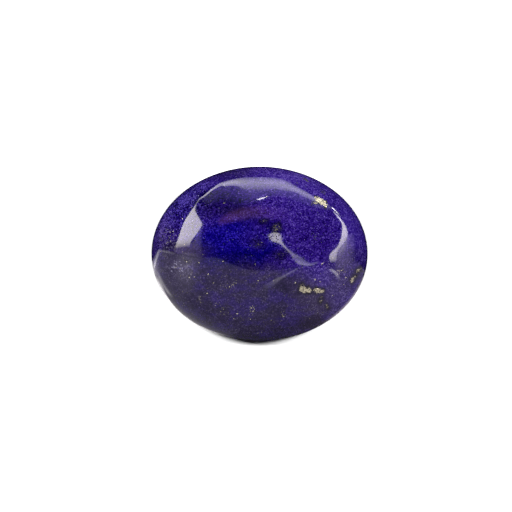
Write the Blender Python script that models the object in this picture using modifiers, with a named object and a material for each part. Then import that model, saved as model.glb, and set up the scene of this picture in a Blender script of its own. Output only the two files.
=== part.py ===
# Oval lapis lazuli cabochon: one polished stone with a domed face and a flat back
import math

import bmesh
import bpy
from mathutils import Matrix

# Driving dimensions, in metres. The stone lies on its flat back, long axis along X.
LENGTH = 0.0160
WIDTH = 0.0129
DOME_HEIGHT = 0.0044
GIRDLE_HEIGHT = 0.0006
BACK_BEVEL = 0.00035

# The dome runs from its top to the girdle as height = (1 - radius ** PLAN_POWER) ** (1 / RISE_POWER).
# A rise power over 2 gives a gentle crown and a full, steep shoulder.
PLAN_POWER = 2.0
RISE_POWER = 2.5

# Facets of the solid
DOME_RINGS = 26
SEGMENTS = 112
MERGE_DISTANCE = 0.000001
SHARP_ANGLE = math.radians(30)

# Finish of the polished rock
LAPIS_BLUE = (0.020, 0.008, 0.200, 1.0)
POLISH_ROUGHNESS = 0.08

COLLECTION_NAME = "lapis_lazuli_cabochon"
STONE_NAME = "lapis_cabochon"


def clear_scene():
    for obj in list(bpy.data.objects):
        bpy.data.objects.remove(obj, do_unlink=True)


def make_collection(name):
    collection = bpy.data.collections.new(name)
    bpy.context.scene.collection.children.link(collection)
    return collection


def make_material(name, colour, roughness, metallic):
    material = bpy.data.materials.new(name)
    material.use_nodes = True
    shader = material.node_tree.nodes["Principled BSDF"]
    shader.inputs["Base Color"].default_value = colour
    shader.inputs["Roughness"].default_value = roughness
    shader.inputs["Metallic"].default_value = metallic
    return material


def dome_profile(half_length, girdle_top):
    """Points of the dome from its top to the girdle, closer together where it turns down."""
    points = []
    for ring in range(DOME_RINGS + 1):
        turn = 0.5 * math.pi * ring / DOME_RINGS
        radius = math.sin(turn) ** (2.0 / PLAN_POWER)
        rise = math.cos(turn) ** (2.0 / RISE_POWER) if ring < DOME_RINGS else 0.0
        points.append((half_length * radius, 0.0, girdle_top + DOME_HEIGHT * rise))
    return points


def stone_profile():
    """Half outline of the stone, from the top of the dome down to the middle of the flat back."""
    half_length = 0.5 * LENGTH
    girdle_top = BACK_BEVEL + GIRDLE_HEIGHT
    points = dome_profile(half_length, girdle_top)
    points.append((half_length, 0.0, BACK_BEVEL))
    points.append((half_length - BACK_BEVEL, 0.0, 0.0))
    points.append((0.0, 0.0, 0.0))
    return points


def turn_profile(name, points, collection):
    """Turns the profile once about Z and gives the evaluated mesh as a new object."""
    mesh = bpy.data.meshes.new(name + "_profile")
    bm = bmesh.new()
    corners = [bm.verts.new(point) for point in points]
    for start, end in zip(corners, corners[1:]):
        bm.edges.new((start, end))
    bm.to_mesh(mesh)
    bm.free()

    profile = bpy.data.objects.new(name + "_profile", mesh)
    collection.objects.link(profile)
    screw = profile.modifiers.new("turn", "SCREW")
    screw.axis = "Z"
    screw.angle = 2.0 * math.pi
    screw.steps = SEGMENTS
    screw.render_steps = SEGMENTS
    screw.use_merge_vertices = True
    screw.merge_threshold = MERGE_DISTANCE

    depsgraph = bpy.context.evaluated_depsgraph_get()
    turned = bpy.data.meshes.new_from_object(profile.evaluated_get(depsgraph))
    bpy.data.objects.remove(profile, do_unlink=True)
    turned.name = name
    solid = bpy.data.objects.new(name, turned)
    collection.objects.link(solid)
    return solid


def make_stone(collection):
    stone = turn_profile(STONE_NAME, stone_profile(), collection)
    stone.data.transform(Matrix.Diagonal((1.0, WIDTH / LENGTH, 1.0, 1.0)))
    stone.data.shade_smooth()
    stone.data.set_sharp_from_angle(angle=SHARP_ANGLE)
    stone.data.materials.clear()
    stone.data.materials.append(make_material("polished_lapis", LAPIS_BLUE, POLISH_ROUGHNESS, 0.0))
    return stone


clear_scene()
make_stone(make_collection(COLLECTION_NAME))
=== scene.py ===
# Oval lapis lazuli cabochon: its finish, its pyrite grains, the studio light and the camera
import math
import random

import bpy
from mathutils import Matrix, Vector


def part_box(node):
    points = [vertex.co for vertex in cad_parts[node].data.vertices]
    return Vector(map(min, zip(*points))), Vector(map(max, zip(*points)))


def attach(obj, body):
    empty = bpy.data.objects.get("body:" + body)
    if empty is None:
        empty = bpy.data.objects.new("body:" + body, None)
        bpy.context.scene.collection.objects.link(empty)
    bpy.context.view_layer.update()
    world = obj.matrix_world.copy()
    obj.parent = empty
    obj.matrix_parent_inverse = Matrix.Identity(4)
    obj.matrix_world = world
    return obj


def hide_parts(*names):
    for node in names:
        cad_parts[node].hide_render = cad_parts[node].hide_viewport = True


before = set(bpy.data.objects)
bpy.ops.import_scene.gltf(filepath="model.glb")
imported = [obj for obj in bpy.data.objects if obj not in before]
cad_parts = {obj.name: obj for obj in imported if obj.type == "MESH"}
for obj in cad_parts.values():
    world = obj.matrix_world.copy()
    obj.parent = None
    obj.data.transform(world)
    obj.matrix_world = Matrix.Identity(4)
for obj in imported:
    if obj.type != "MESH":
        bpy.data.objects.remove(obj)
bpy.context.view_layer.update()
print("frame loaded:", ", ".join(sorted(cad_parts)))

mm = 0.001
stoneLow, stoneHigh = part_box("lapis_cabochon")
stoneSize = stoneHigh - stoneLow

# how the stone was cut; its length, width and full height come from the frame
# a whole number here is a count, and any other value has a decimal point
stoneCut = {
    "girdleHeight": 0.6 * mm,
    "backBevel": 0.35 * mm,
    "risePower": 2.5,        # over 2 gives a gentle crown and a full shoulder
    "bevelRound": 1.4,       # 1 is a quarter circle, 2 a straight chamfer
    "around": 320,
    "domeRows": 120,
    "girdleRows": 3,
    "bevelRows": 8,
    "backRows": 22,
    "weld": 0.5e-6,          # in metres, where the bands of the profile meet
}
halfLength = stoneSize.x / 2
halfWidth = stoneSize.y / 2
girdleTop = stoneCut["backBevel"] + stoneCut["girdleHeight"]
domeHeight = stoneSize.z - girdleTop

# where the photograph shows the stone, in its own pixels
photo = {
    "width": 512,
    "stoneCentre": (259.55, 253.6),
    "stoneLength": 216.1,
}
perPixel = stoneSize.x / photo["stoneLength"]

# the camera looks straight down on the dome
cameraSetup = {
    "distance": 0.45,        # from the girdle, in metres
    "sensor": 36.0,
    "nearest": 0.01,         # what lies nearer or farther than these isn't seen
    "farthest": 10,
}


def stonePoint(pixel):
    # the point of the girdle plane that a pixel of the photograph shows
    x = (pixel[0] - photo["stoneCentre"][0]) * perPixel
    y = (photo["stoneCentre"][1] - pixel[1]) * perPixel
    return x, y


def newObject(name, data):
    thing = bpy.data.objects.new(name, data)
    bpy.context.scene.collection.objects.link(thing)
    return thing


def makeCamera():
    camera = newObject("camera", bpy.data.cameras.new("camera"))
    x, y = stonePoint((photo["width"] / 2, photo["width"] / 2))
    camera.location = (x, y, girdleTop + cameraSetup["distance"])
    frameWidth = photo["width"] * perPixel
    camera.data.sensor_width = cameraSetup["sensor"]
    camera.data.lens = cameraSetup["sensor"] * cameraSetup["distance"] / frameWidth
    camera.data.clip_start = cameraSetup["nearest"]
    camera.data.clip_end = cameraSetup["farthest"]
    bpy.context.scene.camera = camera
    return camera


camera = makeCamera()


# small helpers for building node trees
def plug(tree, socket, value):
    if isinstance(value, bpy.types.NodeSocket):
        tree.links.new(value, socket)
    elif value is not None:
        socket.default_value = value


def addNode(tree, kind, inputs=None, **settings):
    node = tree.nodes.new(kind)
    for name, value in settings.items():
        setattr(node, name, value)
    for name, value in (inputs or {}).items():
        plug(tree, node.inputs[name], value)
    return node


def calc(tree, operation, *values, clamp=False):
    node = addNode(tree, "ShaderNodeMath", operation=operation, use_clamp=clamp)
    for socket, value in zip(node.inputs, values):
        plug(tree, socket, value)
    return node.outputs[0]


def vectorCalc(tree, operation, first, second=None, scale=None):
    # inputs 0 and 1 are the vectors, and input 3 is the scale
    node = addNode(tree, "ShaderNodeVectorMath", {0: first, 1: second, 3: scale}, operation=operation)
    return node.outputs["Value" if operation == "LENGTH" else "Vector"]


def splitVector(tree, vector):
    return addNode(tree, "ShaderNodeSeparateXYZ", {0: vector}).outputs


def remap(tree, value, low, high, outLow=0.0, outHigh=1.0, smooth=True):
    node = addNode(tree, "ShaderNodeMapRange", interpolation_type="SMOOTHSTEP" if smooth else "LINEAR")
    for socket, item in zip(node.inputs, (value, low, high, outLow, outHigh)):
        plug(tree, socket, item)
    return node.outputs[0]


def blend(tree, factor, first, second):
    # input 0 is the factor, 6 and 7 are the two colours, and output 2 is the mixed one
    node = addNode(tree, "ShaderNodeMix", {0: factor, 6: first, 7: second}, data_type="RGBA")
    return node.outputs[2]


def newTree(name, kind, inputs, outputs):
    tree = bpy.data.node_groups.new(name, kind)
    for label, socketType, value in inputs:
        socket = tree.interface.new_socket(label, in_out="INPUT", socket_type=socketType)
        if value is not None:
            socket.default_value = value
    for label, socketType in outputs:
        tree.interface.new_socket(label, in_out="OUTPUT", socket_type=socketType)
    given = tree.nodes.new("NodeGroupInput").outputs
    result = tree.nodes.new("NodeGroupOutput").inputs
    return tree, given, result


def socketName(word):
    # the input that a value called risePower goes to is called Rise Power
    return "".join(" " + letter if letter.isupper() else letter for letter in word).title()


def namedInputs(values):
    kinds = {int: "NodeSocketInt", float: "NodeSocketFloat"}
    return [(socketName(word), kinds[type(value)], value) for word, value in values.items()]


def newMaterial(name):
    material = bpy.data.materials.new(name)
    material.use_nodes = True
    material.node_tree.nodes.clear()
    return material, material.node_tree


def showSurface(tree, shader, output="ShaderNodeOutputMaterial"):
    plug(tree, addNode(tree, output).inputs["Surface"], shader.outputs[0])


def finishedMesh(name, tree, base, **values):
    # runs a geometry tree once on a mesh of points and keeps its result as a plain mesh
    values = {socketName(word): value for word, value in values.items()}
    source = newObject(name + "_source", base)
    modifier = source.modifiers.new(name, "NODES")
    modifier.node_group = tree
    for item in tree.interface.items_tree:
        if item.item_type == "SOCKET" and item.in_out == "INPUT" and item.name in values:
            modifier[item.identifier] = values[item.name]
    evaluated = source.evaluated_get(bpy.context.evaluated_depsgraph_get())
    mesh = bpy.data.meshes.new_from_object(evaluated)
    mesh.name = name
    bpy.data.objects.remove(source)
    return newObject(name, mesh)


def paint(red, green, blue):
    # a colour as a screen shows it, 0 to 255, as the light values that a shader takes
    shares = [value / 255 for value in (red, green, blue)]
    linear = [v / 12.92 if v <= 0.04045 else ((v + 0.055) / 1.055) ** 2.4 for v in shares]
    return (*linear, 1.0)


# the rock, seen the same on the polished face and on the lapped back; sizes in millimetres
rock = {
    # each ramp goes from the dark gaps between the crystals to the lightest crystals
    "violetTones": [paint(0, 0, 24), paint(9, 0, 60), paint(26, 9, 84), paint(42, 23, 99),
                    paint(88, 72, 142)],
    "royalTones": [paint(0, 0, 24), paint(0, 0, 52), paint(3, 0, 70), paint(9, 2, 91), paint(37, 26, 131)],
    # the darker, greyer ramp: dusky rock, and painted shade where it covers the lower half
    "duskAndShadeTones": [paint(3, 2, 20), paint(11, 6, 33), paint(23, 15, 46), paint(35, 27, 58), paint(80, 75, 98)],
    "calcite": paint(170, 165, 198),
    "pyriteDust": paint(150, 142, 118),
    "soot": paint(5, 4, 14),
    "crystalSize": 0.078,
    "fineSize": 0.055,
    "mottleSize": 0.42,
    "cloudSize": 1.1,
    "crystalContrast": 0.62,
    "fineContrast": 1.3,
    "mottleContrast": 0.36,
    "cloudContrast": 0.24,
    "paintedRimShade": 0.5,         # painted shade: how much darker the rock is where the face turns down at its outline
    "rimShadeWide": 0.1,         # how wide the painted shade is, in millimetres of the outline, seen from above
    "rimShadeHigh": 1000.0,      # so far up and down that height doesn't count
    "stretch": 0.6,          # mottle and clouds are drawn out along the stone
    "drift": 1.3,            # how far the edges of the places below wander
    "driftScale": 1.1,
    "placeHeight": 4.0,      # where the middle of every place is, over the back
    "placeReach": 6.0,       # how far up and down a place reaches
    "duskLeast": 0.62,       # a dusky place is this dusky at its weakest
    "duskFrom": 0.38,        # where its patches begin, and where they are full
    "duskFull": 0.54,
    "calciteSize": 0.085,
    "calciteStrength": 0.55,
    "calciteEdge": 0.5,      # how far from the middle of its crystal a speck's soft edge ends
    "dustSize": 0.07,
    "dustEdge": 0.45,
    "dustEverywhere": 0.06,
    "dustInPlaces": 0.9,     # added in the dusty and dusky places
    "dustFrom": 0.42,        # where the clouds begin to thicken, and where they are thickest
    "dustFull": 0.62,
    "dustLeast": 0.005,      # share of the crystals that are gold, in the clearest and thickest clouds
    "dustMost": 0.028,
    "pitSize": 0.085,
    "pitEdge": 0.5,
    "pitShare": 0.02,
    "refraction": 1.5,
}
rockSizes = {name: rock[name] for name in ("crystalSize", "fineSize", "mottleSize", "cloudSize")}

# the rock where no place changes it
plainRock = {
    "tone": 0.495,
    "contrast": 1.0,
    "royal": 0.0,
    "dusk": 0.0,
    "dust": 0.0,
    "pale": 0.009,
}


def speckTree():
    # a mask of small specks: crystals of one size, of which only a share shows
    tree, given, result = newTree(
        "crystalSpecks", "ShaderNodeTree",
        [("Vector", "NodeSocketVector", None), ("Size", "NodeSocketFloat", None),
         ("Share", "NodeSocketFloat", None), ("Edge", "NodeSocketFloat", None)],
        [("Mask", "NodeSocketFloat")])
    scale = calc(tree, "DIVIDE", 1.0, given["Size"])
    cells = addNode(tree, "ShaderNodeTexVoronoi", {"Vector": given["Vector"], "Scale": scale})
    chance = addNode(tree, "ShaderNodeSeparateColor", {"Color": cells.outputs["Color"]}).outputs["Red"]
    chosen = calc(tree, "LESS_THAN", chance, given["Share"])
    inner = calc(tree, "MULTIPLY", given["Edge"], 0.5)
    spot = remap(tree, cells.outputs["Distance"], given["Edge"], inner)
    plug(tree, result["Mask"], calc(tree, "MULTIPLY", chosen, spot))
    return tree


crystalSpecks = speckTree()


def zoneTree():
    # a soft oval zone of the stone, for places where the rock changes
    tree, given, result = newTree(
        "rockZone", "ShaderNodeTree",
        [("Vector", "NodeSocketVector", None), ("Centre", "NodeSocketVector", None),
         ("Reach", "NodeSocketVector", None), ("Softness", "NodeSocketFloat", None)],
        [("Mask", "NodeSocketFloat")])
    away = vectorCalc(tree, "SUBTRACT", given["Vector"], given["Centre"])
    length = vectorCalc(tree, "LENGTH", vectorCalc(tree, "DIVIDE", away, given["Reach"]))
    start = calc(tree, "ADD", 1.0, given["Softness"])
    end = calc(tree, "SUBTRACT", 1.0, given["Softness"])
    plug(tree, result["Mask"], remap(tree, length, start, end))
    return tree


rockZone = zoneTree()

# soft places in the rock: middle and reach in millimetres from the middle of the stone, softness, and what
# the place adds; tone lightens or darkens, contrast adds to that of the grain, and royal, dusk and shade,
# dust and pale are shares of those colours, of gold dust and of calcite; the dusk and shade tones are dusky
# rock in some places and painted shade over the lower half
rockPlaces = {
    "royalHeart": ((-1.7, 0.7), (3.3, 1.9), 0.3, {"royal": 1.0}),
    "brightBlue": ((-2.8, 1.2), (1.9, 0.8), 0.6, {"tone": 0.1}),
    "heartMiddle": ((-0.2, 1.4), (1.0, 0.9), 0.7, {"tone": 0.04, "royal": -0.4}),
    "darkStreaks": ((-1.0, -0.45), (2.4, 0.6), 0.5, {"tone": -0.13}),
    "darkUpper": ((-3.0, 3.7), (2.2, 0.9), 0.6, {"tone": -0.22, "dusk": 0.4}),
    "archDusk": ((-1.3, 3.0), (1.4, 0.5), 0.7, {"dusk": 0.5}),
    "crownDark": ((0.2, 1.9), (1.5, 0.7), 0.6, {"tone": -0.1}),
    "centreRight": ((4.0, 1.0), (1.9, 1.7), 0.6, {"tone": -0.045}),
    "topLeftDusk": ((-2.1, 6.0), (1.4, 0.7), 0.7, {"tone": -0.06, "dusk": 0.5}),
    "topRim": ((1.6, 6.0), (2.6, 0.9), 0.6, {"tone": 0.14, "contrast": -0.1}),
    "upperRightRim": ((4.3, 5.0), (2.4, 1.4), 0.6, {"tone": 0.16, "contrast": -0.25, "royal": 0.1}),
    "rightRim": ((7.2, 2.2), (1.2, 2.5), 0.6, {"tone": 0.17, "contrast": -0.35, "royal": 0.22}),
    "rightHaze": ((6.6, -1.2), (1.5, 1.5), 0.6, {"dusk": 0.6, "tone": -0.04}),
    "leftRim": ((-7.1, 1.2), (1.0, 1.1), 0.6, {"contrast": 0.4, "dust": 0.7, "dusk": 0.2}),
    "leftShoulder": ((-5.6, 3.8), (1.9, 1.9), 0.6,
                     {"tone": -0.07, "royal": 0.5, "contrast": 0.7, "pale": 0.03}),
    "shoulderRim": ((-7.0, 2.7), (0.5, 1.0), 0.7, {"tone": 0.24}),
    "shoulderStreak": ((-5.3, 4.0), (0.6, 0.5), 0.8, {"tone": 0.34}),
    "upperStreak": ((-4.3, 4.9), (0.7, 0.35), 0.8, {"tone": 0.2}),
    "leftDusk": ((-5.4, 0.1), (1.8, 0.9), 0.5, {"dusk": 0.8, "contrast": -0.3}),
    "leftHaze": ((-6.6, -1.2), (1.6, 1.7), 0.5, {"tone": 0.08, "dusk": 0.6, "contrast": -0.1}),
    "palePatch": ((-5.4, -1.25), (0.75, 0.6), 0.7, {"tone": 0.09, "pale": 0.03}),
    "paleFlecks": ((-6.0, -0.95), (0.6, 0.26), 0.7, {"tone": 0.16, "pale": 0.3}),
    # painted shade: darkens the whole lower half of the face with the darker, greyer tones, with dusky
    # patches of rock in it
    "lowerShadeAndDusk": ((-2.2, -3.75), (7.8, 3.2), 0.25,
                  {"dusk": 1.0, "contrast": -0.28, "tone": 0.04, "pale": 0.008}),
    "lowerRight": ((5.4, -3.0), (2.4, 2.4), 0.6, {"tone": 0.15, "contrast": -0.15, "dusk": 0.1}),
    # painted light: lifts the rock along the bottom of the outline, which the lamps leave in shade
    "lowRimPaintedLight": ((-2.4, -5.95), (1.6, 0.45), 0.7, {"tone": 0.09}),
    "lowSmudge": ((1.6, -2.5), (0.5, 0.35), 0.7, {"tone": -0.15, "dusk": 0.6}),
    "lowestSmudge": ((3.9, -5.0), (0.9, 0.4), 0.7, {"tone": -0.15, "dusk": 0.6}),
    "glintSmudge": ((1.6, -0.1), (0.5, 0.35), 0.7, {"tone": -0.2, "dusk": 0.7}),
    "crownSmudge": ((-0.1, 0.75), (0.55, 0.3), 0.7, {"tone": -0.15, "dusk": 0.5}),
}


def rockTree():
    tree, given, result = newTree(
        "lapisRock", "ShaderNodeTree",
        [("Vector", "NodeSocketVector", None), *namedInputs(rockSizes)],
        [("Colour", "NodeSocketColor"), ("Dust", "NodeSocketFloat"), ("Pits", "NodeSocketFloat"),
         ("Relief", "NodeSocketFloat")])
    vector = given["Vector"]

    def noise(size, detail, roughness, shift=0.0, distortion=0.0):
        node = addNode(tree, "ShaderNodeTexNoise", {
            "Vector": vectorCalc(tree, "ADD", vector, (shift,) * 3),
            "Scale": calc(tree, "DIVIDE", 1.0, size), "Detail": detail, "Roughness": roughness,
            "Distortion": distortion})
        return node.outputs["Fac"]

    def specks(size, share, edge):
        node = addNode(tree, "ShaderNodeGroup", node_tree=crystalSpecks)
        for name, value in (("Vector", vector), ("Size", size), ("Share", share), ("Edge", edge)):
            plug(tree, node.inputs[name], value)
        return node.outputs["Mask"]

    def zone(middle, reach, softness):
        node = addNode(tree, "ShaderNodeGroup", {
            "Vector": wandering, "Centre": (*middle, rock["placeHeight"]),
            "Reach": (*reach, rock["placeReach"]), "Softness": softness}, node_tree=rockZone)
        return node.outputs["Mask"]

    def tones(tone, colours):
        node = addNode(tree, "ShaderNodeValToRGB", {"Fac": tone})
        elements = node.color_ramp.elements    # a new ramp has two already
        for index, colour in enumerate(colours):
            place = index / (len(colours) - 1)
            element = elements[index] if index < 2 else elements.new(place)
            element.position = place
            element.color = colour
        return node.outputs["Color"]

    fine = noise(given["Fine Size"], detail=1.0, roughness=0.7, shift=7.7)
    scale = calc(tree, "DIVIDE", 1.0, given["Crystal Size"])
    crystals = addNode(tree, "ShaderNodeTexVoronoi", {"Vector": vector, "Scale": scale})
    separate = addNode(tree, "ShaderNodeSeparateColor", {"Color": crystals.outputs["Color"]})
    crystalTone = separate.outputs["Red"]
    vector = vectorCalc(tree, "MULTIPLY", vector, (rock["stretch"], 1, 1))
    clouds = noise(given["Cloud Size"], detail=3.0, roughness=0.6, distortion=0.4)
    mottle = noise(given["Mottle Size"], detail=3.0, roughness=0.75, shift=3.1)
    patches = noise(given["Cloud Size"], detail=4.0, roughness=0.65, shift=12.3)

    # the edges of the places wander
    vector = given["Vector"]
    wander = addNode(tree, "ShaderNodeTexNoise", {
        "Vector": vector, "Scale": rock["driftScale"], "Detail": 4.0, "Roughness": 0.65})
    centred = vectorCalc(tree, "SUBTRACT", wander.outputs["Color"], (0.5, 0.5, 0.5))
    wandering = vectorCalc(tree, "ADD", vector, vectorCalc(tree, "SCALE", centred, scale=rock["drift"]))
    shares = dict(plainRock)
    for middle, reach, softness, changes in rockPlaces.values():
        mask = zone(middle, reach, softness)
        for share, change in changes.items():
            shares[share] = calc(tree, "MULTIPLY_ADD", mask, change, shares[share])

    # one tone for light and dark grain, from all four scales
    grain = 0.0
    scales = ((crystalTone, "crystalContrast"), (fine, "fineContrast"), (mottle, "mottleContrast"),
              (clouds, "cloudContrast"))
    for pattern, contrast in scales:
        grain = calc(tree, "MULTIPLY_ADD", calc(tree, "SUBTRACT", pattern, 0.5), rock[contrast], grain)
    tone = calc(tree, "MULTIPLY_ADD", grain, shares["contrast"], shares["tone"])

    # painted shade: the rock is darker at the outline, where the mask of the oval is a half
    inner = addNode(tree, "ShaderNodeGroup", {
        "Vector": vector, "Reach": (halfLength / mm, halfWidth / mm, rock["rimShadeHigh"]),
        "Softness": rock["rimShadeWide"] * mm / halfWidth}, node_tree=rockZone)
    edge = remap(tree, inner.outputs["Mask"], 1.0, 0.5, smooth=False)
    tone = calc(tree, "MULTIPLY_ADD", edge, -rock["paintedRimShade"], tone)

    # violet blue, with royal blue in the heart, and darker, greyer tones that are dusky rock in places and
    # painted shade over the whole lower half
    patchy = remap(tree, patches, rock["duskFrom"], rock["duskFull"], rock["duskLeast"], 1.0)
    dusk = calc(tree, "MULTIPLY", shares["dusk"], patchy)
    royal = calc(tree, "ADD", shares["royal"], 0.0, clamp=True)
    colour = blend(tree, royal, tones(tone, rock["violetTones"]), tones(tone, rock["royalTones"]))
    colour = blend(tree, calc(tree, "MINIMUM", dusk, 1.0), colour, tones(tone, rock["duskAndShadeTones"]))

    # pale calcite and gold dust, most of it low down and on the left
    pale = specks(rock["calciteSize"], shares["pale"], rock["calciteEdge"])
    colour = blend(tree, calc(tree, "MULTIPLY", pale, rock["calciteStrength"]), colour, rock["calcite"])
    dusty = calc(tree, "ADD", shares["dust"], shares["dusk"])
    dusty = calc(tree, "MULTIPLY_ADD", dusty, rock["dustInPlaces"], rock["dustEverywhere"])
    cloudy = remap(tree, clouds, rock["dustFrom"], rock["dustFull"], rock["dustLeast"], rock["dustMost"])
    dust = specks(rock["dustSize"], calc(tree, "MULTIPLY", dusty, cloudy), rock["dustEdge"])
    colour = blend(tree, dust, colour, rock["pyriteDust"])
    pits = specks(rock["pitSize"], rock["pitShare"], rock["pitEdge"])
    colour = blend(tree, pits, colour, rock["soot"])

    plug(tree, result["Colour"], colour)
    plug(tree, result["Dust"], dust)
    plug(tree, result["Pits"], pits)
    plug(tree, result["Relief"], calc(tree, "ADD", fine, crystalTone))
    return tree


lapisRock = rockTree()

polish = {
    "roughness": 0.045,
    "pitRoughness": 0.65,
    "relief": 0.02,
    "reliefDepth": 0.01 * mm,
    "haloReach": 0.34 * mm,
    "haloDark": 0.6,         # how dark the rock is beside the pyrite
    "haloRagged": 0.4,
    "haloFrom": 0.3,         # where the halo's ragged edge begins, and where it is full
    "haloFull": 0.7,
    "haloFade": 0.15,        # nearer its outer end than this it fades
}
lappedBack = {
    "roughness": 0.42,
}
pyriteLook = {
    "light": paint(228, 220, 190),
    "dark": paint(62, 60, 44),
    "soot": paint(12, 9, 16),     # the dark specks that stand among the gold ones
    "metal": 0.75,
    "roughness": 0.24,
    "sootRoughness": 0.6,
    "fleckSize": 0.05 * mm,
    "fleckDark": 0.6,        # how light the dark flecks of a grain are, as a share of the grain
    "fleckFrom": 0.3,        # where a fleck is darkest, and where it ends
    "fleckTo": 0.55,
    "goldFrom": 0.12,        # a grain lighter than this is gold through and through
}


def rockNode(tree):
    place = addNode(tree, "ShaderNodeTexCoord").outputs["Object"]
    inputs = {socketName(name): size for name, size in rockSizes.items()}
    inputs["Vector"] = vectorCalc(tree, "SCALE", place, scale=1 / mm)
    return addNode(tree, "ShaderNodeGroup", inputs, node_tree=lapisRock).outputs


def polishedLapis():
    material, tree = newMaterial("polishedLapis")
    stoneRock = rockNode(tree)
    nearPyrite = addNode(tree, "ShaderNodeAttribute", attribute_name="nearPyrite").outputs["Fac"]
    lowered = calc(tree, "SUBTRACT", nearPyrite, polish["haloRagged"])
    ragged = calc(tree, "MULTIPLY_ADD", stoneRock["Relief"], polish["haloRagged"], lowered)
    spread = remap(tree, ragged, polish["haloFrom"], polish["haloFull"])
    faded = calc(tree, "MULTIPLY", spread, remap(tree, nearPyrite, 0.0, polish["haloFade"]))
    halo = calc(tree, "MULTIPLY", faded, polish["haloDark"])
    colour = blend(tree, halo, stoneRock["Colour"], rock["soot"])
    roughness = remap(tree, stoneRock["Pits"], 0.0, 1.0, polish["roughness"], polish["pitRoughness"])
    bump = addNode(tree, "ShaderNodeBump", {
        "Strength": polish["relief"], "Distance": polish["reliefDepth"], "Height": stoneRock["Relief"]})
    showSurface(tree, addNode(tree, "ShaderNodeBsdfPrincipled", {
        "Base Color": colour, "Metallic": stoneRock["Dust"], "Roughness": roughness,
        "IOR": rock["refraction"], "Normal": bump.outputs[0]}))
    return material


def lappedLapis():
    material, tree = newMaterial("lappedLapis")
    showSurface(tree, addNode(tree, "ShaderNodeBsdfPrincipled", {
        "Base Color": rockNode(tree)["Colour"], "Roughness": lappedBack["roughness"],
        "IOR": rock["refraction"]}))
    return material


def pyriteMetal():
    material, tree = newMaterial("pyrite")
    place = addNode(tree, "ShaderNodeTexCoord").outputs["Object"]
    grainTone = addNode(tree, "ShaderNodeAttribute", attribute_name="tone").outputs["Fac"]
    flecks = addNode(tree, "ShaderNodeTexNoise", {
        "Vector": place, "Scale": 1 / pyriteLook["fleckSize"], "Detail": 3.0})
    shine = remap(tree, flecks.outputs["Fac"], pyriteLook["fleckFrom"], pyriteLook["fleckTo"],
                  pyriteLook["fleckDark"], 1.0)
    gold = blend(tree, calc(tree, "MULTIPLY", grainTone, shine, clamp=True), pyriteLook["dark"],
                 pyriteLook["light"])
    golden = remap(tree, grainTone, 0.0, pyriteLook["goldFrom"])
    showSurface(tree, addNode(tree, "ShaderNodeBsdfPrincipled", {
        "Base Color": blend(tree, golden, pyriteLook["soot"], gold),
        "Metallic": calc(tree, "MULTIPLY", golden, pyriteLook["metal"]),
        "Roughness": remap(tree, golden, 0.0, 1.0, pyriteLook["sootRoughness"], pyriteLook["roughness"])}))
    return material


polishedFace = polishedLapis()
lappedFace = lappedLapis()
pyriteFace = pyriteMetal()
print("finishes made")


# the pyrite: grains in the polished face, where the photograph shows them, with dark specks among them,
# and a scatter on the hidden sides
pyrite = {
    "seed": 11,
    "proud": 0.004 * mm,
    "depth": 0.05 * mm,
    "darkShare": 0.45,       # how proud of the polish a dark speck is, as a share of a gold one
    "proudFrom": 0.05,       # a grain lighter than this stands as proud as the gold
    "tilt": 1.6,             # degrees, most that a grain leans off the polish
    "corners": 7,
    "narrowest": 0.6,        # how wide a grain is, as a share of its length
    "widest": 1.1,
    "raggedness": 2.2,       # how far a noise of -0.5 to 0.5 moves the corners, in widths of the grain
    "ragScale": 22000.0,
    "scatterDensity": 0.55e6,    # grains in a square metre of the hidden sides
    "smallest": 0.03 * mm,
    "largest": 0.16 * mm,
    "mostlySmall": 3.0,      # 1 gives scattered grains of all widths alike, and more gives more small ones
    "dullest": 0.3,          # how light a scattered grain is
    "lightest": 1.0,
    "veinScale": 450.0,
    "veinsFrom": 0.42,       # where the veins are thinner than this no grain is scattered
    "veinsFull": 0.68,
    "slopeFrom": 0.25,       # grains are scattered where the face is steeper than this
    "slopeFull": 0.05,
}

# how the placed grains stand in their groups
grainGroups = {
    "seed": 11,
    "singleWidth": 0.85,     # of the widths that pyriteSingles gives
    "singleLight": (0.8, 1.4),
    "groupLight": (0.4, 1.0),
    "middleWidth": 1.15,     # grains in the middle of a group are wider
    "narrowing": 0.4,        # than those at its edge, by this
    "sootSpread": 1.35,      # how much wider than its gold a group's dark specks lie
    "sootWidth": 1.3,        # the width of a dark speck, as a share of the gold one's
    # these groups have dark rock round their grains
    "haloGroups": ("lowerLeftPatch", "lowerRightPatch", "lowerBridge", "lowerTrail", "lowerTrailEnd",
                   "crownCluster", "crownSpecks", "rightRimLower", "rightRimUpper"),
}

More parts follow.
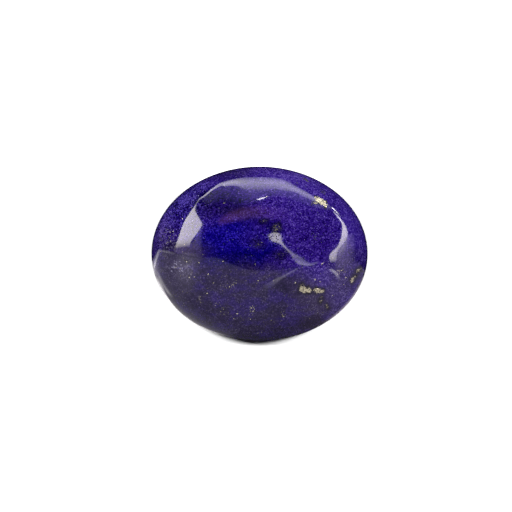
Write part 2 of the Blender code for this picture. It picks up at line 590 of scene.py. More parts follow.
# groups of grains: middle, half length, half width, turn in degrees, how many, smallest and largest
# grain in pixels, how light they are, and how many dark specks stand among them
pyriteGroups = {
    "shoulderPatch": ((320.9, 202), 7.8, 2.9, -36, 72, 1.2, 2.6, 1.05, 14),
    "shoulderTail": ((314.2, 203.4), 3.4, 1.4, 10, 9, 0.8, 1.6, 0.7, 14),
    "lowerLeftPatch": ((304.6, 289.6), 5.8, 3.0, -8, 62, 1.0, 2.3, 1.0, 26),
    "lowerRightPatch": ((318.4, 290.6), 5.0, 2.2, -6, 44, 0.9, 2.1, 0.95, 20),
    "lowerBridge": ((300.5, 285.4), 2.6, 1.2, 30, 6, 0.6, 1.2, 0.5, 6),
    "lowerTrail": ((320.4, 299.8), 4.0, 1.5, 80, 10, 0.6, 1.4, 0.5, 9),
    "lowerTrailEnd": ((326.8, 306), 2.4, 1.3, -50, 8, 0.7, 1.5, 0.6, 6),
    "crownCluster": ((276.4, 227.8), 4.0, 3.4, 20, 26, 0.6, 1.1, 0.36, 46),
    "crownSpecks": ((263.8, 221.8), 3.0, 1.8, 10, 8, 0.5, 1.0, 0.3, 5),
    "heartSpecks": ((259.4, 243.8), 5.6, 1.7, 25, 10, 0.4, 0.8, 0.35, 17),
    "glintSpecks": ((274, 237.4), 4.8, 3.6, -30, 0, 0.7, 1.2, 0, 30),
    "belowGlintSpecks": ((281, 255.6), 3.4, 2.4, 0, 5, 0.4, 0.8, 0.2, 14),
    "rightCrownSpecks": ((316, 236.4), 6.6, 3.4, 0, 9, 0.4, 0.8, 0.25, 22),
    "rightRimLower": ((352.6, 279.2), 4.2, 1.6, 52, 20, 1.0, 2.2, 1.0, 8),
    "rightRimUpper": ((358.4, 269.6), 3.4, 1.3, 48, 13, 0.9, 1.9, 0.8, 7),
    "rightSpecks": ((341, 271), 4.6, 3.0, 10, 11, 0.5, 1.1, 0.6, 20),
    "topRimGrain": ((305.8, 180.4), 2.8, 0.9, -32, 8, 0.8, 1.4, 0.4, 10),
    "topRimDull": ((323.4, 192.2), 3.4, 2.0, -35, 8, 0.7, 1.3, 0.1, 16),
    "bandSpecks": ((296, 184.2), 2.4, 2.2, 60, 6, 0.5, 1.0, 0.1, 8),
    "leftRimDust": ((168, 236), 9.4, 7.0, 20, 64, 0.4, 0.9, 1.1, 30),
    "leftRimUpper": ((174, 202), 3.4, 5.0, 0, 14, 0.4, 0.9, 0.8, 12),
    "lowerLeftSpecks": ((177.4, 266.8), 4.4, 2.4, -30, 4, 0.4, 0.9, 0.9, 18),
    "leftHazeSpecks": ((187.6, 261), 4.2, 1.4, 0, 7, 0.4, 0.9, 0.9, 12),
    "lowMiddleSpecks": ((252.6, 309), 5.0, 3.8, 60, 14, 0.4, 0.8, 1.0, 14),
    "lowLeftSpecks": ((221, 306), 7.0, 3.8, -20, 12, 0.4, 0.8, 0.8, 16),
    "lowRightSpecks": ((283.4, 315.4), 3.4, 5.2, 0, 11, 0.4, 0.8, 1.0, 12),
    "farLeftSpecks": ((200.4, 299), 2.6, 5.0, 15, 9, 0.4, 0.8, 1.0, 12),
    "middleSpecks": ((232, 284), 12, 4.6, 0, 13, 0.4, 0.8, 0.8, 16),
    "lowBandSpecks": ((240, 314), 18, 6.0, 0, 18, 0.4, 0.8, 0.8, 20),
    "lowestSpecks": ((258, 331), 10, 3.0, 0, 8, 0.4, 0.8, 0.5, 10),
    "shoulderCore": ((322, 203.3), 3.8, 1.5, -26, 18, 1.2, 2.2, 1.12, 0),
}

# single grains: where, and how wide, in pixels
pyriteSingles = [
    ((267.1, 196.9), 1.4), ((224.4, 203.4), 1.3), ((182.8, 218.7), 1.0), ((191.6, 207.7), 0.9),
    ((199.2, 262.6), 0.9), ((203.6, 254.6), 1.0), ((223.2, 261.1), 1.2), ((255.2, 264.2), 1.0),
    ((208.5, 274.2), 1.0), ((189.8, 277.2), 1.3), ((194.9, 276.8), 1.1), ((214, 282.6), 1.0),
    ((229.7, 286.4), 1.3), ((227.4, 283.6), 0.8), ((236.7, 282.8), 1.1), ((246.2, 280.5), 0.8),
    ((258.4, 280.4), 1.2), ((207.4, 292.9), 1.5), ((200.7, 296.5), 1.0), ((201.1, 302.5), 1.1),
    ((218.4, 303.6), 0.8), ((215.4, 305.5), 0.9), ((220.9, 311.3), 1.1), ((237.2, 313.5), 1.4),
    ((251.4, 307.7), 1.0), ((253.6, 310.3), 1.5), ((234, 318.5), 0.9), ((250.3, 318.6), 1.0),
    ((257.2, 333), 0.9), ((273.3, 280.2), 0.9), ((295, 282.4), 1.6), ((314.6, 279.3), 1.3),
    ((319.6, 281.5), 1.0), ((332.4, 295.1), 1.2), ((284.7, 294.9), 1.0), ((283.2, 316), 1.2),
    ((285.2, 314.4), 0.8), ((271, 319.6), 1.0), ((309.2, 318.3), 1.1), ((317.4, 312.5), 1.0),
    ((345.2, 277.4), 1.3), ((343.4, 284.5), 1.0), ((321.4, 263.6), 1.4), ((323, 262.6), 0.9),
]


def pyriteSeeds():
    # one loose point for each grain, high over the stone, with its width, its lightness and its halo
    dice = random.Random(grainGroups["seed"])
    spots = []
    for pixel, width in pyriteSingles:
        width = grainGroups["singleWidth"] * width
        side = dice.uniform(0, 2 * math.pi)
        beside = (pixel[0] + width * math.cos(side), pixel[1] + width * math.sin(side))
        spots.append((pixel, width, dice.uniform(*grainGroups["singleLight"]), 0.0))
        spots.append((beside, width * grainGroups["sootWidth"], 0.0, 0.0))
    for name, group in pyriteGroups.items():
        middle, halfLong, halfWide, turn, count, smallest, largest, light, dark = group
        angle = math.radians(turn)
        halo = float(name in grainGroups["haloGroups"])
        for index in range(count + dark):
            sooty = index >= count
            reach = math.sqrt(dice.random())
            spread = reach * (grainGroups["sootSpread"] if sooty else 1.0)
            around = dice.uniform(0, 2 * math.pi)
            long = spread * halfLong * math.cos(around)
            wide = spread * halfWide * math.sin(around)
            share = grainGroups["middleWidth"] - grainGroups["narrowing"] * reach
            width = dice.uniform(smallest, largest) * share
            pixel = (middle[0] + long * math.cos(angle) + wide * math.sin(angle),
                     middle[1] - long * math.sin(angle) + wide * math.cos(angle))
            if sooty:
                spots.append((pixel, width * grainGroups["sootWidth"], 0.0, halo))
            else:
                spots.append((pixel, width, light * dice.uniform(*grainGroups["groupLight"]), halo))
    seeds = bpy.data.meshes.new("pyriteSeeds")
    seeds.from_pydata([(*stonePoint(pixel), 2 * stoneSize.z) for pixel, *_ in spots], [], [])
    for name, values in (("width", [width * perPixel for _, width, _, _ in spots]),
                         ("tone", [light for _, _, light, _ in spots]),
                         ("halo", [halo for _, _, _, halo in spots])):
        seeds.attributes.new(name, "FLOAT", "POINT").data.foreach_set("value", values)
    return seeds


grainSpots = pyriteSeeds()


def cabochonTree():
    # the stone turned from its profile: back, bevel, girdle and dome, then squeezed to an oval
    tree, given, result = newTree(
        "cabochonCut", "GeometryNodeTree",
        [("Grain Spots", "NodeSocketGeometry", None), *namedInputs(stoneCut),
         ("Half Length", "NodeSocketFloat", halfLength),
         ("Width Ratio", "NodeSocketFloat", halfWidth / halfLength),
         ("Dome Height", "NodeSocketFloat", domeHeight),
         ("Halo Reach", "NodeSocketFloat", polish["haloReach"]),
         ("Polished Face", "NodeSocketMaterial", None), ("Lapped Face", "NodeSocketMaterial", None)],
        [("Stone", "NodeSocketGeometry")])

    def turned(rows, shape, material):
        # one band of the profile, from its lower edge (0) to its upper edge (1)
        sheet = addNode(tree, "GeometryNodeMeshGrid", {
            "Size X": 1.0, "Size Y": 1.0, "Vertices X": calc(tree, "ADD", given["Around"], 1),
            "Vertices Y": calc(tree, "ADD", rows, 1)})
        place = splitVector(tree, addNode(tree, "GeometryNodeInputPosition").outputs[0])
        angle = calc(tree, "MULTIPLY", place["X"], 2 * math.pi)
        along = calc(tree, "ADD", place["Y"], 0.5)
        radius, height = shape(along)
        x = calc(tree, "MULTIPLY", radius, calc(tree, "COSINE", angle))
        y = calc(tree, "MULTIPLY", radius, calc(tree, "SINE", angle))
        y = calc(tree, "MULTIPLY", y, given["Width Ratio"])
        point = addNode(tree, "ShaderNodeCombineXYZ", {"X": x, "Y": y, "Z": height})
        placed = addNode(tree, "GeometryNodeSetPosition", {
            "Geometry": sheet.outputs["Mesh"], "Position": point.outputs[0]})
        return addNode(tree, "GeometryNodeSetMaterial", {
            "Geometry": placed.outputs[0], "Material": material}).outputs[0]

    def quarter(along):
        return calc(tree, "MULTIPLY", along, math.pi / 2)

    def backShape(along):
        edge = calc(tree, "SUBTRACT", given["Half Length"], given["Back Bevel"])
        return calc(tree, "MULTIPLY", edge, along), 0.0

    def bevelShape(along):
        turn = quarter(along)
        out = calc(tree, "POWER", calc(tree, "SINE", turn), given["Bevel Round"])
        up = calc(tree, "POWER", calc(tree, "MAXIMUM", calc(tree, "COSINE", turn), 0.0), given["Bevel Round"])
        edge = calc(tree, "SUBTRACT", given["Half Length"], given["Back Bevel"])
        radius = calc(tree, "MULTIPLY_ADD", given["Back Bevel"], out, edge)
        return radius, calc(tree, "MULTIPLY", given["Back Bevel"], calc(tree, "SUBTRACT", 1.0, up))

    def girdleShape(along):
        height = calc(tree, "MULTIPLY_ADD", given["Girdle Height"], along, given["Back Bevel"])
        return given["Half Length"], height

    def domeShape(along):
        turn = quarter(along)
        radius = calc(tree, "MULTIPLY", given["Half Length"], calc(tree, "COSINE", turn))
        rise = calc(tree, "POWER", calc(tree, "SINE", turn), calc(tree, "DIVIDE", 2.0, given["Rise Power"]))
        base = calc(tree, "ADD", given["Back Bevel"], given["Girdle Height"])
        return radius, calc(tree, "MULTIPLY_ADD", given["Dome Height"], rise, base)

    joined = addNode(tree, "GeometryNodeJoinGeometry")
    bands = (("Dome Rows", domeShape, "Polished Face"), ("Girdle Rows", girdleShape, "Polished Face"),
             ("Bevel Rows", bevelShape, "Polished Face"), ("Back Rows", backShape, "Lapped Face"))
    for rows, shape, face in bands:
        plug(tree, joined.inputs[0], turned(given[rows], shape, given[face]))
    closed = addNode(tree, "GeometryNodeMergeByDistance", {
        "Geometry": joined.outputs[0], "Distance": given["Weld"]})
    smooth = addNode(tree, "GeometryNodeSetShadeSmooth", {"Geometry": closed.outputs[0]})

    # how near each point of the dome is to the grains that have dark rock round them, seen from above
    place = addNode(tree, "GeometryNodeInputPosition").outputs[0]
    flat = vectorCalc(tree, "MULTIPLY", place, (1, 1, 0))
    haloed = addNode(tree, "GeometryNodeInputNamedAttribute", {"Name": "halo"}, data_type="FLOAT")
    selected = calc(tree, "GREATER_THAN", haloed.outputs["Attribute"], 0.5)
    chosen = addNode(tree, "GeometryNodeSeparateGeometry", {
        "Geometry": given["Grain Spots"], "Selection": selected})
    spots = addNode(tree, "GeometryNodeSetPosition", {
        "Geometry": chosen.outputs["Selection"], "Position": flat})
    nearest = addNode(tree, "GeometryNodeProximity", {"Geometry": spots.outputs[0], "Sample Position": flat},
                      target_element="POINTS")
    halo = remap(tree, nearest.outputs["Distance"], given["Halo Reach"], 0.0, smooth=False)
    onDome = calc(tree, "GREATER_THAN", splitVector(tree, place)["Z"], given["Girdle Height"])
    marked = addNode(tree, "GeometryNodeStoreNamedAttribute", {
        "Geometry": smooth.outputs[0], "Name": "nearPyrite", "Value": calc(tree, "MULTIPLY", halo, onDome)},
        data_type="FLOAT", domain="POINT")
    plug(tree, result["Stone"], marked.outputs[0])
    return tree


stone = finishedMesh("lapis_stone", cabochonTree(), grainSpots, halfLength=halfLength,
                     widthRatio=halfWidth / halfLength, domeHeight=domeHeight,
                     haloReach=polish["haloReach"], polishedFace=polishedFace, lappedFace=lappedFace,
                     **stoneCut)
print("stone cut:", len(stone.data.polygons), "faces")


def grainTree():
    tree, given, result = newTree(
        "pyriteGrains", "GeometryNodeTree",
        [("Seeds", "NodeSocketGeometry", None), ("Stone", "NodeSocketObject", None),
         *namedInputs(pyrite), ("Metal", "NodeSocketMaterial", None)],
        [("Grains", "NodeSocketGeometry")])

    def keep(geometry, name, value, kind="FLOAT"):
        node = addNode(tree, "GeometryNodeStoreNamedAttribute", data_type=kind, domain="POINT")
        for socket, item in (("Geometry", geometry), ("Name", name), ("Value", value)):
            plug(tree, node.inputs[socket], item)
        return node.outputs[0]

    def stored(name, kind="FLOAT"):
        node = addNode(tree, "GeometryNodeInputNamedAttribute", {"Name": name}, data_type=kind)
        return node.outputs["Attribute"]

    def dice(low, high, draw):
        # each draw, by its number, falls in its own way
        node = addNode(tree, "FunctionNodeRandomValue", data_type="FLOAT")
        enabled = [socket for socket in node.inputs if socket.enabled]
        for socket in enabled:
            if socket.name in ("Min", "Max"):
                plug(tree, socket, low if socket.name == "Min" else high)
            if socket.name == "Seed":
                plug(tree, socket, calc(tree, "ADD", given["Seed"], draw))
        return next(socket for socket in node.outputs if socket.enabled)

    stoneShape = addNode(tree, "GeometryNodeObjectInfo", {"Object": given["Stone"]}).outputs["Geometry"]

    # placed grains fall straight down on the stone
    falling = addNode(tree, "GeometryNodeMeshToPoints", {"Mesh": given["Seeds"]})
    drop = addNode(tree, "GeometryNodeRaycast", {
        "Target Geometry": stoneShape, "Ray Direction": (0, 0, -1), "Ray Length": 0.1})
    placed = keep(falling.outputs[0], "lie", drop.outputs["Hit Normal"], "FLOAT_VECTOR")
    placed = addNode(tree, "GeometryNodeSetPosition", {
        "Geometry": placed, "Position": drop.outputs["Hit Position"]}).outputs[0]

    # the rest are scattered where the photograph doesn't look, thicker in some places than in others
    normal = addNode(tree, "GeometryNodeInputNormal").outputs[0]
    hidden = remap(tree, splitVector(tree, normal)["Z"], given["Slope From"], given["Slope Full"])
    veins = addNode(tree, "ShaderNodeTexNoise", {"Scale": given["Vein Scale"], "Detail": 2.0})
    veined = remap(tree, veins.outputs["Fac"], given["Veins From"], given["Veins Full"])
    density = calc(tree, "MULTIPLY", hidden, veined)
    density = calc(tree, "MULTIPLY", density, given["Scatter Density"])
    scatter = addNode(tree, "GeometryNodeDistributePointsOnFaces", {
        "Mesh": stoneShape, "Density": density, "Seed": given["Seed"]})
    size = calc(tree, "POWER", dice(0.0, 1.0, draw=1), given["Mostly Small"])
    width = calc(tree, "MULTIPLY_ADD", calc(tree, "SUBTRACT", given["Largest"], given["Smallest"]), size,
                 given["Smallest"])
    loose = keep(scatter.outputs["Points"], "lie", scatter.outputs["Normal"], "FLOAT_VECTOR")
    loose = keep(loose, "width", width)
    loose = keep(loose, "tone", dice(given["Dullest"], given["Lightest"], draw=6))

    everyPoint = addNode(tree, "GeometryNodeJoinGeometry")
    plug(tree, everyPoint.inputs[0], placed)
    plug(tree, everyPoint.inputs[0], loose)

    # each grain is a flat crystal set in the polish, leaning and turned by chance, the dark ones lower
    proudness = remap(tree, stored("tone"), 0.0, given["Proud From"], given["Dark Share"], 1.0)
    proud = calc(tree, "MULTIPLY", given["Proud"], proudness)
    sink = calc(tree, "MULTIPLY_ADD", given["Depth"], -0.5, proud)
    lie = stored("lie", "FLOAT_VECTOR")
    bedded = addNode(tree, "GeometryNodeSetPosition", {
        "Geometry": everyPoint.outputs[0], "Offset": vectorCalc(tree, "SCALE", lie, scale=sink)})
    crystal = addNode(tree, "GeometryNodeMeshCylinder", {
        "Vertices": given["Corners"], "Radius": 0.5, "Depth": 1.0})
    upright = addNode(tree, "FunctionNodeAlignRotationToVector", {"Vector": lie}, axis="Z")
    tilt = calc(tree, "RADIANS", given["Tilt"])
    back = calc(tree, "MULTIPLY", tilt, -1.0)
    lean = addNode(tree, "ShaderNodeCombineXYZ", {
        "X": dice(back, tilt, draw=2), "Y": dice(back, tilt, draw=3),
        "Z": dice(0.0, 2 * math.pi, draw=4)})
    turned = addNode(tree, "FunctionNodeRotateRotation", {
        "Rotation": upright.outputs[0], "Rotate By": lean.outputs[0]}, rotation_space="LOCAL")
    width = stored("width")
    aspect = dice(given["Narrowest"], given["Widest"], draw=5)
    scale = addNode(tree, "ShaderNodeCombineXYZ", {
        "X": width, "Y": calc(tree, "MULTIPLY", width, aspect), "Z": given["Depth"]})
    grains = addNode(tree, "GeometryNodeInstanceOnPoints", {
        "Points": bedded.outputs[0], "Instance": crystal.outputs["Mesh"], "Rotation": turned.outputs[0],
        "Scale": scale.outputs[0]})
    real = addNode(tree, "GeometryNodeRealizeInstances", {"Geometry": grains.outputs[0]})

    # ragged outlines: each corner wanders along the polish
    wander = addNode(tree, "ShaderNodeTexNoise", {"Scale": given["Rag Scale"], "Detail": 0.0})
    centred = vectorCalc(tree, "SUBTRACT", wander.outputs["Color"], (0.5, 0.5, 0.5))
    amount = calc(tree, "MULTIPLY", width, given["Raggedness"])
    wide = vectorCalc(tree, "SCALE", centred, scale=amount)
    along = vectorCalc(tree, "SUBTRACT", wide, vectorCalc(tree, "PROJECT", wide, lie))
    ragged = addNode(tree, "GeometryNodeSetPosition", {"Geometry": real.outputs[0], "Offset": along})

    # the stone lies on its back, and no grain reaches lower than those of the back stand proud
    lowest = addNode(tree, "ShaderNodeCombineXYZ", {
        "X": -1.0, "Y": -1.0, "Z": calc(tree, "MULTIPLY", given["Proud"], -1.0)})
    place = addNode(tree, "GeometryNodeInputPosition").outputs[0]
    level = addNode(tree, "GeometryNodeSetPosition", {
        "Geometry": ragged.outputs[0], "Position": vectorCalc(tree, "MAXIMUM", place, lowest.outputs[0])})
    metal = addNode(tree, "GeometryNodeSetMaterial", {
        "Geometry": level.outputs[0], "Material": given["Metal"]})
    plug(tree, result["Grains"], metal.outputs[0])
    return tree


grains = finishedMesh("pyrite_grains", grainTree(), grainSpots, stone=stone, metal=pyriteFace, **pyrite)
print("pyrite set:", len(grains.data.polygons), "faces")


# the studio: a pale floor, two soft lights behind the stone and a little fill from all round
studio = {
    "sunHeight": 56,         # degrees over the floor
    "sunSides": (-62, 66),   # degrees from straight behind the stone
    "sunSpread": 14,
    "sunStrength": 4.2,
    "mirrorDark": 0.006,
    "fillBehind": 0.1,
    "fillFront": 0.004,
    "floorWhite": 0.92,
    "floorReach": 0.6,
    "floorHeight": -0.01 * mm,
    "floorSides": 64,
    "cardDistance": 0.2,
    "cardRows": 72,
    "cardColumns": 10,
    "cardRim": 0.998,        # no strip is drawn farther out than this share of the way to the outline
}

whiteGlow = (1.0, 0.965, 0.97, 1)
warmGlow = (1.0, 0.94, 0.88, 1)
violetGlow = (1.0, 0.86, 1.0, 1)

# what the polished dome mirrors, each strip drawn where the photograph shows it on the stone
# a strip runs between two edges, in pixels of the photograph
# across is its glow from the first edge to the second, along its share from start to end
# its tint and its columns are given where they aren't whiteGlow and cardColumns
mirrorStrips = {
    "leftWindow": {
        "first": [(196.7, 204.2), (192.5, 210), (185.2, 221.2), (181.7, 229.7), (179.3, 237), (177, 243.4),
                  (175.8, 248.4)],
        "second": [(196.8, 204.4), (195.6, 211), (200.9, 220.9), (202.3, 225.3), (196.6, 234.5),
                   (191.6, 241.4), (190, 246.6)],
        "across": [12.5, 11.2, 10.6, 10.4],
        "along": [1, 1, 1, 1, 1, 0.85, 0],
        "tint": warmGlow,
    },
    "leftWindowHaze": {
        "first": [(202.5, 226), (197, 235), (192, 243), (176, 246), (174.5, 252)],
        "second": [(202.6, 227), (202.6, 236), (202.6, 246), (202.6, 255), (202.6, 258)],
        "across": [1.2, 0.9, 0.3],
        "along": [1, 1],
        "tint": violetGlow,
    },
    "topWindowLine": {
        "first": [(196.8, 203.4), (199.6, 199), (203.7, 196.2), (207.4, 193.2), (211, 190), (214.7, 187.4),
                  (218.4, 184.6), (222.8, 182.7)],
        "second": [(197, 203.9), (200.4, 199.8), (204.2, 197.4), (208.2, 194.4), (212, 191.2),
                   (216.6, 188.4), (221, 186.6), (226, 186.6)],
        "across": [10, 8],
        "along": [0.8, 0.6, 1, 1, 1, 0.8, 0.6, 0.5],
    },
    "topWindow": {
        "first": [(222.8, 182.7), (227.9, 180.9), (235.2, 179.4), (244, 178), (255, 177.6), (263.8, 177.6),
                  (277, 178.7), (284.3, 180.5), (291.7, 184.2), (299, 188.4), (306.4, 192.2), (318, 199.8)],
        "second": [(224, 187), (229.4, 186.4), (236.7, 186.6), (245, 189.4), (255, 190), (263.8, 190),
                   (271, 189.6), (277, 189.8), (285, 191), (294, 192.8), (303, 196.6), (316, 202.6)],
        "across": [1.3, 3.4, 4.9, 5.4, 4.5, 3.4, 2.6],
        "along": [1.1, 1.35, 1.35, 1.05, 1, 1, 1, 1.05, 1.05, 1.05, 1, 0.9],
    },
    "topWindowFade": {
        "first": [(224, 187), (236.7, 187), (250, 189.8), (263.8, 190), (277, 189.8), (290, 192),
                  (303, 196.6), (316, 202.6)],
        "second": [(222, 204), (236, 206), (250, 206), (264, 201), (278, 197.6), (290, 200.6), (303, 205),
                   (316, 209)],
        "across": [1.5, 0.95, 0.75, 0.45, 0],
        "along": [0, 0.65, 1, 1, 1, 0.85, 0.7, 0.7],
    },
    "topLeftHaze": {
        "first": [(204, 198), (212, 192.5), (220, 188), (230, 187)],
        "second": [(206, 206), (214, 205), (222, 203), (232, 201)],
        "across": [0.8, 0.55, 0.3, 0],
        "along": [0.7, 1, 1, 0.5],
    },
    "rightLine": {
        "first": [(331.6, 207.2), (333.9, 209.3), (336.3, 212), (338.5, 214.6), (340.8, 217.6)],
        "second": [(331.4, 208.4), (333.6, 210.4), (335.8, 212.6), (338, 215), (340.2, 218)],
        "across": [22, 22],
        "along": [1, 1.05, 0.95, 0.3, 0],
    },
    "rightInnerLine": {
        "first": [(333.3, 211.7), (335.7, 214.2), (338.3, 217), (340.8, 219.9), (342.5, 222.5)],
        "second": [(333, 212.4), (335.2, 215), (337.2, 217.4), (339.4, 220.4), (341, 223.2)],
        "across": [15, 15],
        "along": [0.5, 0.7, 1, 1, 0.8],
    },
    "rightWindow": {
        "first": [(342.8, 222), (344.6, 225), (346.4, 229.5), (347, 235), (345.4, 240), (342.6, 244),
                  (339.6, 247.6), (337.4, 251), (336.4, 255), (335.8, 259.4), (334.4, 262.6)],
        "second": [(341, 222.6), (341.8, 226.6), (341.6, 230.6), (341, 235.6), (339.6, 240.4),
                   (338.2, 244), (336.2, 247.6), (332.8, 250.6), (329.4, 254.6), (328.6, 258.6),
                   (329.8, 262.4)],
        "across": [8, 11.5, 12.5, 12.5],
        "along": [1, 1, 1, 0.95, 0.85, 0.8, 0.8, 0.85, 0.75, 0.6, 0],
        "tint": warmGlow,
    },
    "rightWindowSoft": {
        "first": [(348, 236), (347.8, 242), (346.6, 248), (342.6, 255), (338.4, 262)],
        "second": [(347, 235), (344, 242), (339.8, 247.4), (337.2, 251.4), (336, 258)],
        "across": [0, 2, 4],
        "along": [0, 1, 1, 0.7, 0],
        "tint": warmGlow,
    },
    "rightWindowHaze": {
        "first": [(354, 234), (355, 242), (355, 250), (354.6, 258), (351, 268), (345, 276)],
        "second": [(346.8, 234), (345.2, 242), (340.4, 249), (337, 256), (335, 263), (335, 270)],
        "across": [0.1, 0.9, 1.4, 1.7],
        "along": [0.6, 0.9, 1.1, 1.1, 0.6, 0],
        "tint": violetGlow,
    },
    "crownGlint": {
        "first": [(268.8, 234.4), (268.8, 237.6), (272, 241.2), (279, 243.4), (283, 246.8), (287.2, 250.8),
                  (290.8, 255.4), (292.6, 260.2)],
        "second": [(274.8, 232.5), (279.7, 234.2), (281, 237.6), (281.6, 241.4), (284.4, 245.4),
                   (288.4, 249.8), (292.8, 253), (298, 256)],
        "across": [8.4, 10, 8.6],
        "along": [1, 1, 1, 0.85, 0.75, 0.6, 0.38, 0.3],
        "tint": warmGlow,
    },
    "crownGlintTail": {
        "first": [(294.2, 260.8), (299, 264.2), (305, 265.4), (309.3, 265.4), (313.7, 264.6), (318, 262)],
        "second": [(296.8, 255.6), (300.2, 256.6), (303.4, 259.2), (307, 261.8), (312, 263), (317.6, 261)],
        "across": [5, 2.4, 2],
        "along": [0.9, 1, 1, 1, 0.8, 0.4],
    },
    "upperGlint": {
        "first": [(256.8, 200.3), (260, 198.9), (265.4, 197.5)],
        "second": [(257, 200.5), (260.5, 199.6), (265.7, 198)],
        "across": [40, 40],
        "along": [1, 0.8],
    },
    "violetArch": {
        "first": [(217, 219), (226, 212.6), (233, 209.2), (244, 205.6), (256, 204.4), (270, 205), (290, 208)],
        "second": [(220, 227), (230, 224.4), (240, 222.6), (250, 220.2), (260, 219.4), (272, 220.8),
                   (290, 223)],
        "across": [0, 0.6, 0.8, 0.6, 0],
        "along": [0.8, 1.25, 1.1, 0.85, 0.75, 0.5, 0],
        "tint": (1.0, 0.36, 0.6, 1),
    },
    "lowerPaleLine": {
        "first": [(297.5, 267.6), (290, 271.6), (284, 274.6), (278, 277.4), (272, 280.4), (262, 286)],
        "second": [(297, 269.4), (290.6, 273.4), (284.8, 276.8), (279.6, 280.4), (274, 285), (264, 292)],
        "across": [2.0, 2.2, 0.6],
        "along": [1.2, 1, 1, 0.9, 0.6, 0],
    },
    "lowerRightLine": {
        "first": [(328.6, 268.8), (332.8, 269.6), (336.4, 272.4), (338.8, 276.4), (340.4, 280)],
        "second": [(329.4, 270.2), (332.2, 272.2), (334.8, 275), (336.8, 278), (338.8, 280.8)],
        "across": [5, 7, 4],
        "along": [0.9, 1, 0.8, 0.3, 0],
    },
    "leftCornerLine": {
        "first": [(153.6, 267), (154.5, 262), (156.5, 256), (158.8, 250), (164, 250.4), (170, 251.4),
                  (176, 252.8)],
        "second": [(155.2, 268), (156.4, 263), (158.6, 257), (160.4, 252), (164.6, 252.2), (170, 253.4),
                   (176, 254.4)],
        "across": [1.8, 1.8],
        "along": [0.5, 1.25, 1.2, 1, 0.85, 0.7, 0.25],
    },
    "lowerHaze": {
        "first": [(152.2, 262), (159.6, 251), (176, 253.4), (190, 257), (203, 257.6), (218, 258),
                  (228, 262.6), (240, 267), (250, 270), (270, 270), (285, 269), (300, 266), (318, 265)],
        "second": [(152, 268), (157, 285), (163, 298), (172, 310), (184, 320), (197, 328), (211, 333.6),
                   (226, 337.4), (243, 339.8), (262, 340.2), (281, 338.6), (299, 334.6), (316, 328)],
        "across": [0.46, 0.46, 0.46, 0.45, 0.42, 0.36, 0.2, 0.03],
        "along": [1.1, 1.35, 1.25, 1.05, 0.95, 0.95, 0.95, 0.9, 0.9, 0.9, 0.7, 0.35, 0],
        "columns": 30,
    },
    "lowerRightHaze": {
        "first": [(288, 270), (300, 266), (312, 265), (324, 264), (336, 258), (348, 256), (358, 262),
                  (364, 270)],
        "second": [(281, 338.6), (299, 334.6), (316, 328), (332, 318), (346, 305), (356, 290), (362, 278),
                   (365, 272)],
        "across": [0, 0.3, 0.5, 0.54, 0.5, 0.42, 0.25, 0.05],
        "along": [0, 0.5, 0.9, 1, 1.1, 1.1, 0.9, 0.5],
        "columns": 30,
        "tint": violetGlow,
    },
    "leftLowerGlow": {
        "first": [(176, 252), (173, 268), (174, 284), (180, 300)],
        "second": [(203, 254), (203, 266), (202, 282), (200, 296)],
        "across": [0, 0.8, 1.0, 0.6, 0],
        "along": [0.9, 1, 0.5, 0],
    },
    "lowerLeftHaze": {
        "first": [(151.8, 262), (153, 271), (156.4, 282), (162, 294), (170, 306), (181, 317), (196, 327),
                  (214, 334.4), (234, 339)],
        "second": [(167, 260), (170, 268), (174, 277), (180, 287), (188, 297), (198, 306), (210, 314),
                   (226, 321), (244, 327)],
        "across": [0.35, 0.3, 0.2, 0],
        "along": [0, 0.1, 0.5, 0.9, 1.2, 1.4, 1.3, 0.8, 0],
    },
    "shoulderGlow": {
        "first": [(312, 199.6), (318, 198.6), (327, 203.6), (331, 207.6)],
        "second": [(312.4, 205), (317, 208), (324, 210), (329, 210.4)],
        "across": [1.3, 1.2, 0.4],
        "along": [0.6, 1, 1, 0.8],
    },
    "leftFringe": {
        "first": [(151.7, 258), (152.2, 266), (154.4, 275), (157.4, 284.4), (161.4, 293.4), (167, 302.4),
                  (174.4, 311), (184, 319.2), (196, 326.6), (210, 332.6), (224, 336.8)],
        "second": [(153.2, 259), (155.2, 266), (158.4, 274.6), (162.4, 283.4), (165.4, 291.8), (170.2, 300.4),
                   (176.8, 308.8), (185.8, 316.8), (197.4, 324.4), (211, 330.4), (224.6, 334.8)],
        "across": [1.5, 1.8, 1.0],
        "along": [0, 0, 0.1, 0.9, 1.1, 1.6, 1.7, 1.7, 1.2, 0.6, 0],
    },
    "leftOuterHaze": {
        "first": [(156, 260), (154.2, 265), (153.6, 270), (155, 276)],
        "second": [(161, 257), (161, 262), (161.6, 267), (163, 273)],
        "across": [0.7, 0.6, 0.3, 0],
        "along": [0, 0.9, 0.9, 0.1],
    },
    "leftInnerFringe": {
        "first": [(155.2, 270.6), (158.2, 277), (161.8, 284.6), (166.6, 292.6), (171.4, 298.4)],
        "second": [(158.4, 269.4), (161.4, 275.6), (165, 283), (170, 290.8), (175, 296.4)],
        "across": [0, 1.5, 0],
        "along": [0, 0.9, 1, 1.3, 0],
    },
    "rightFringe": {
        "first": [(363.9, 276.1), (359.7, 286.2), (353.1, 297.1), (344.7, 307.1), (334.6, 316.1),
                  (323.1, 323.9)],
        "second": [(361.4, 275.5), (357.3, 285.4), (351, 296.1), (342.7, 305.8), (332.8, 314.7),
                   (321.6, 322.4)],
        "across": [0.7, 0.5, 0.2],
        "along": [0.2, 0.8, 1, 0.9, 0.7, 0],
        "tint": violetGlow,
    },
}


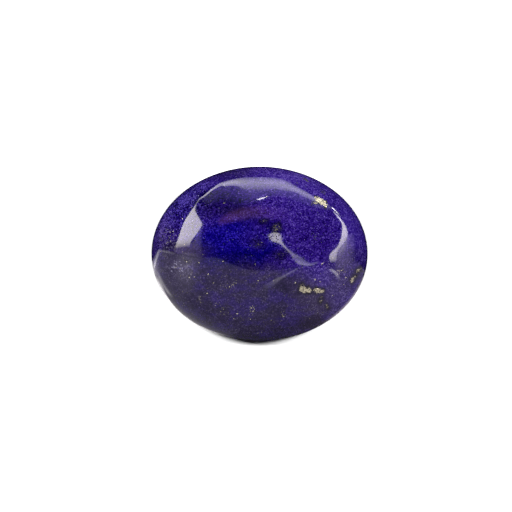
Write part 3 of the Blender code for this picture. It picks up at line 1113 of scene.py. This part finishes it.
def mirroredPoint(pixel):
    # where a camera ray that meets the dome at this pixel is mirrored to, on a sphere round the stone
    x, y = stonePoint(pixel)
    rim = min(math.hypot(x / halfLength, y / halfWidth), studio["cardRim"])
    left = 1 - rim * rim
    power = 1 / stoneCut["risePower"]
    slope = -2 * domeHeight * power * left ** (power - 1)
    normal = Vector((-slope * x / halfLength ** 2, -slope * y / halfWidth ** 2, 1)).normalized()
    point = Vector((x, y, girdleTop + domeHeight * left ** power))
    ray = (point - camera.location).normalized().reflect(normal)
    toCentre = point.dot(ray)
    reach = studio["cardDistance"]
    return point + ray * (math.sqrt(toCentre ** 2 + reach ** 2 - point.length_squared) - toCentre)


def onCurve(points, share):
    # a smooth line through the listed points, share 0 at the first and 1 at the last
    place = share * (len(points) - 1)
    index = min(int(place), len(points) - 2)
    t = place - index
    a, b, c, d = (points[min(max(index + step, 0), len(points) - 1)] for step in (-1, 0, 1, 2))
    return tuple(0.5 * (2 * q + (r - p) * t + (2 * p - 5 * q + 4 * r - s) * t ** 2
                        + (3 * q - p - 3 * r + s) * t ** 3) for p, q, r, s in zip(a, b, c, d))


def onLine(values, share):
    place = share * (len(values) - 1)
    index = min(int(place), len(values) - 2)
    return values[index] + (values[index + 1] - values[index]) * (place - index)


def glowMaterial(tint):
    material, tree = newMaterial("studioGlow")
    glow = addNode(tree, "ShaderNodeAttribute", attribute_name="glow").outputs["Fac"]
    light = addNode(tree, "ShaderNodeEmission", {"Color": tint, "Strength": glow})
    clear = addNode(tree, "ShaderNodeBsdfTransparent")
    showSurface(tree, addNode(tree, "ShaderNodeAddShader", {0: light.outputs[0], 1: clear.outputs[0]}))
    material.cycles.emission_sampling = "NONE"    # only the polish ever meets these
    return material


def mirrorStrip(name, strip):
    rows = studio["cardRows"]
    columns = strip.get("columns", studio["cardColumns"])
    points = []
    glow = []
    for row in range(rows + 1):
        first = onCurve(strip["first"], row / rows)
        second = onCurve(strip["second"], row / rows)
        for column in range(columns + 1):
            share = column / columns
            pixel = tuple(p + (q - p) * share for p, q in zip(first, second))
            points.append(mirroredPoint(pixel))
            glow.append(onLine(strip["across"], share) * onLine(strip["along"], row / rows))
    step = columns + 1
    corners = [row * step + column for row in range(rows) for column in range(columns)]
    faces = [(corner, corner + 1, corner + 1 + step, corner + step) for corner in corners]
    mesh = bpy.data.meshes.new(name)
    mesh.from_pydata(points, [], faces)
    mesh.attributes.new("glow", "FLOAT", "POINT").data.foreach_set("value", glow)
    mesh.materials.append(glowMaterial(strip.get("tint", whiteGlow)))
    card = newObject(name, mesh)
    for ray in ("camera", "diffuse", "transmission", "volume_scatter", "shadow"):
        setattr(card, "visible_" + ray, False)    # so only the polish mirrors it


for stripName, strip in mirrorStrips.items():
    mirrorStrip(stripName, strip)


def makeFloor():
    mesh = bpy.data.meshes.new("floor")
    reach = studio["floorReach"]
    corners = range(studio["floorSides"])
    turns = [2 * math.pi * corner / studio["floorSides"] for corner in corners]
    rim = [(reach * math.cos(turn), reach * math.sin(turn), studio["floorHeight"]) for turn in turns]
    mesh.from_pydata(rim, [], [tuple(corners)])
    material, tree = newMaterial("paleFloor")
    white = (studio["floorWhite"],) * 3 + (1,)
    showSurface(tree, addNode(tree, "ShaderNodeBsdfDiffuse", {"Color": white}))
    mesh.materials.append(material)
    floor = newObject("floor", mesh)
    floor.visible_glossy = False


def makeSun(name, sideAngle):
    light = bpy.data.lights.new(name, "SUN")
    light.energy = studio["sunStrength"]
    light.angle = math.radians(studio["sunSpread"])
    sun = newObject(name, light)
    height = math.radians(studio["sunHeight"])
    side = math.radians(sideAngle)
    towards = Vector((math.sin(side) * math.cos(height), math.cos(side) * math.cos(height), math.sin(height)))
    sun.rotation_euler = towards.to_track_quat("Z", "Y").to_euler()
    sun.visible_glossy = False


def makeSky():
    # white behind the stone, dark where the polish would mirror it, brighter fill from behind than in front
    world = bpy.data.worlds.new("studio")
    bpy.context.scene.world = world
    world.use_nodes = True
    tree = world.node_tree
    tree.nodes.clear()
    rays = addNode(tree, "ShaderNodeLightPath")
    aim = addNode(tree, "ShaderNodeTexCoord").outputs["Generated"]
    fill = remap(tree, splitVector(tree, aim)["Y"], 0.0, 1.0, studio["fillFront"], studio["fillBehind"])
    mirrored = remap(tree, rays.outputs["Is Glossy Ray"], 0.0, 1.0, fill, studio["mirrorDark"])
    level = calc(tree, "MAXIMUM", rays.outputs["Is Camera Ray"], mirrored)
    sky = addNode(tree, "ShaderNodeBackground", {"Color": (1, 1, 1, 1), "Strength": level})
    showSurface(tree, sky, "ShaderNodeOutputWorld")


makeFloor()
for lightName, sideAngle in zip(("leftLight", "rightLight"), studio["sunSides"]):
    makeSun(lightName, sideAngle)
makeSky()
view = bpy.context.scene.view_settings
view.view_transform = "Standard"
view.look = "None"
print("studio set")

bpy.context.scene.cycles.denoising_prefilter = "NONE"    # a prefilter would wipe the finest crystals away

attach(stone, "root")
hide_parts("lapis_cabochon")
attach(grains, "root")
